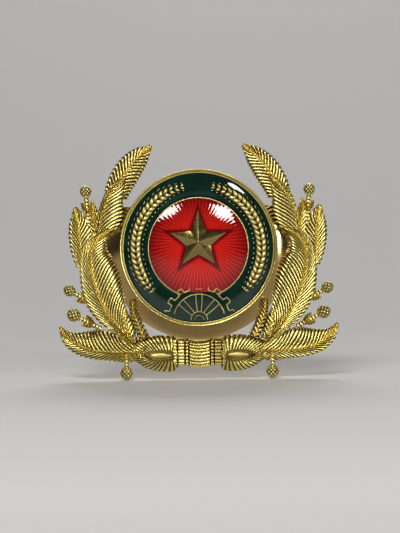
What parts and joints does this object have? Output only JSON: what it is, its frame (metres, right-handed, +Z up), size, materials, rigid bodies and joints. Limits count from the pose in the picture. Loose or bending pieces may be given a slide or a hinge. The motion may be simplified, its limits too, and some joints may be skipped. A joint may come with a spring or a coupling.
{
  "type": "enamelled cap badge",
  "caption": "Round enamelled medallion with a star, screwed to a pine-branch wreath that has a ribbed binding; two screw posts, washers and nuts behind.",
  "frame": {"origin": "centre of the medallion, on the flat rear face of the wreath's plate, which lies on the cap", "axes": "+Z up as worn, +X to the viewer's right, -Y out of the front; the screw posts point along +Y"},
  "size_m": [0.0644, 0.015, 0.0539],
  "materials": {
    "gilt_relief": "satin gilt over struck relief",
    "gilt_polished": "polished gilt",
    "brass_fixings": "turned brass",
    "green_enamel": "glossy dark green fused enamel",
    "red_enamel": "glossy translucent red fused enamel over rays"
  },
  "bodies": {
    "badge": {"wreath_plate": "gilt_polished", "left_branch": "gilt_relief", "right_branch": "gilt_relief", "left_base_leaf": "gilt_relief", "right_base_leaf": "gilt_relief", "left_cones": "gilt_relief", "right_cones": "gilt_relief", "left_bow": "gilt_relief", "right_bow": "gilt_relief", "binding": "gilt_relief", "medallion": "gilt_polished", "green_enamel": "green_enamel", "red_enamel": "red_enamel", "left_post": "brass_fixings", "right_post": "brass_fixings"},
    "left_washer_ring": {"left_washer": "brass_fixings"},
    "right_washer_ring": {"right_washer": "brass_fixings"},
    "left_nut_thumb": {"left_nut": "brass_fixings"},
    "right_nut_thumb": {"right_nut": "brass_fixings"}
  },
  "joints": [
    {"name": "left_nut_travel", "type": "slide", "parent": "badge", "child": "left_washer_ring", "axis": [0, 1, 0], "range_m": [0, 0.005]},
    {"name": "left_nut_turn", "type": "hinge", "parent": "left_washer_ring", "child": "left_nut_thumb", "pos_m": [-0.011, 0, 0], "axis": [0, 1, 0], "range_deg": [0, 3600]},
    {"name": "right_nut_travel", "type": "slide", "parent": "badge", "child": "right_washer_ring", "axis": [0, 1, 0], "range_m": [0, 0.005]},
    {"name": "right_nut_turn", "type": "hinge", "parent": "right_washer_ring", "child": "right_nut_thumb", "pos_m": [0.011, 0, 0], "axis": [0, 1, 0], "range_deg": [0, 3600]}
  ],
  "couplings": [
    {"joint": "left_nut_turn", "follows": "left_nut_travel", "rad_per_m": 12566},
    {"joint": "right_nut_turn", "follows": "right_nut_travel", "rad_per_m": 12566}
  ]
}
